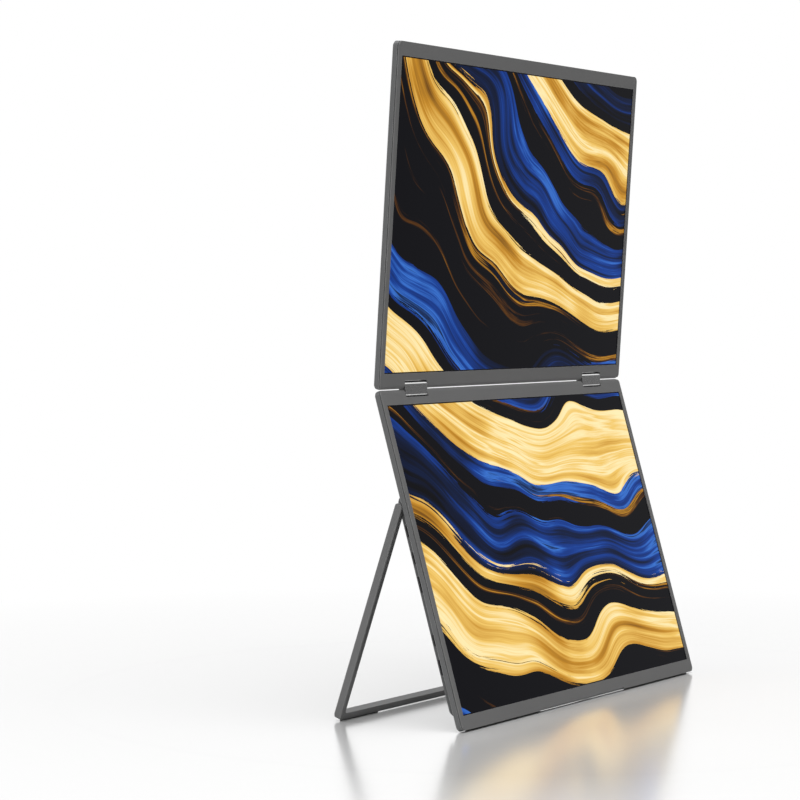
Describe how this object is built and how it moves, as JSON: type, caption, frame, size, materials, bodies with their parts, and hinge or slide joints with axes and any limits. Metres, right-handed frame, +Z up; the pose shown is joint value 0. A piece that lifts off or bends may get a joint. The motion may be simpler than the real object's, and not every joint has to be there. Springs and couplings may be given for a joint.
{
  "type": "folding dual-screen laptop extender",
  "caption": "Two flat display panels joined by a pair of dual-axis friction hinges, standing on the lower panel's edge and a fold-out U-shaped kickstand.",
  "frame": {"origin": "on the standing surface, below the middle of the footprint", "axes": "+X to the right along both hinge axes as the user sees the screens, +Y away from the user towards the kickstand, +Z up"},
  "size_m": [0.354, 0.1042, 0.4637],
  "materials": {
    "housing": "fine bead-blasted, dark grey anodised",
    "seam": "black, smooth",
    "bezel": "fine matte, dark grey",
    "lower_display": null,
    "upper_display": null,
    "light_guide": "milky sheet",
    "sheet_metal": "plain sheet",
    "circuit_board": "green solder mask",
    "steel": "brushed",
    "cover": "fine bead-blasted, dark grey anodised",
    "dark_screw": "blackened",
    "chip": "moulded black",
    "rubber": "soft matte black",
    "washer": "self-lubricating plastic",
    "stand": "fine bead-blasted, grey anodised",
    "hinge_cover": "fine bead-blasted, dark grey anodised",
    "button": "satin, dark grey"
  },
  "bodies": {
    "lower_screen": {"lower_rear_housing": "housing", "lower_mid_frame": "seam", "lower_front_bezel": "bezel", "lower_display_cell": "lower_display", "lower_backlight": "light_guide", "lower_driver_board": "circuit_board", "lower_leaf_screws": "steel", "lower_hinge_leaf_left": "steel", "lower_hinge_leaf_right": "steel", "electronics_cover": "cover", "cover_screws": "dark_screw", "main_board": "circuit_board", "board_chips": "chip", "button_board": "circuit_board", "usb_c_ports": "steel", "mini_video_ports": "steel", "edge_strips": "rubber", "stand_brackets": "sheet_metal", "stand_washers": "washer"},
    "hinge_links": {"hinge_cover_left": "hinge_cover", "hinge_cover_right": "hinge_cover", "lower_hinge_pins": "steel", "upper_hinge_pins": "steel"},
    "upper_screen": {"upper_rear_housing": "housing", "upper_mid_frame": "seam", "upper_front_bezel": "bezel", "upper_display_cell": "upper_display", "upper_backlight": "light_guide", "upper_driver_board": "circuit_board", "upper_leaf_screws": "steel", "upper_hinge_leaf_left": "steel", "upper_hinge_leaf_right": "steel"},
    "kickstand": {"kickstand_frame": "stand", "kickstand_pins": "steel", "kickstand_pads": "rubber"},
    "power_key": {"power_button": "button"},
    "menu_key": {"menu_button": "button"}
  },
  "joints": [
    {"name": "hinge_lower", "type": "hinge", "parent": "lower_screen", "child": "hinge_links", "pos_m": [0, 0.01549, 0.22485], "axis": [-1, 0, 0], "range_deg": [-80, 77.5]},
    {"name": "hinge_upper", "type": "hinge", "parent": "hinge_links", "child": "upper_screen", "pos_m": [0, 0.01613, 0.23081], "axis": [-1, 0, 0], "range_deg": [-80, 77.5]},
    {"name": "kickstand_swing", "type": "hinge", "parent": "lower_screen", "child": "kickstand", "pos_m": [0, -0.0007, 0.14905], "axis": [-1, 0, 0], "range_deg": [-35, 34.87]},
    {"name": "power_press", "type": "slide", "parent": "lower_screen", "child": "power_key", "axis": [-1, 0, 0], "range_m": [0, 0.0006], "stiffness_N_per_m": 1200, "springref_m": -0.0004},
    {"name": "menu_press", "type": "slide", "parent": "lower_screen", "child": "menu_key", "axis": [-1, 0, 0], "range_m": [0, 0.0006], "stiffness_N_per_m": 1200, "springref_m": -0.0004}
  ]
}
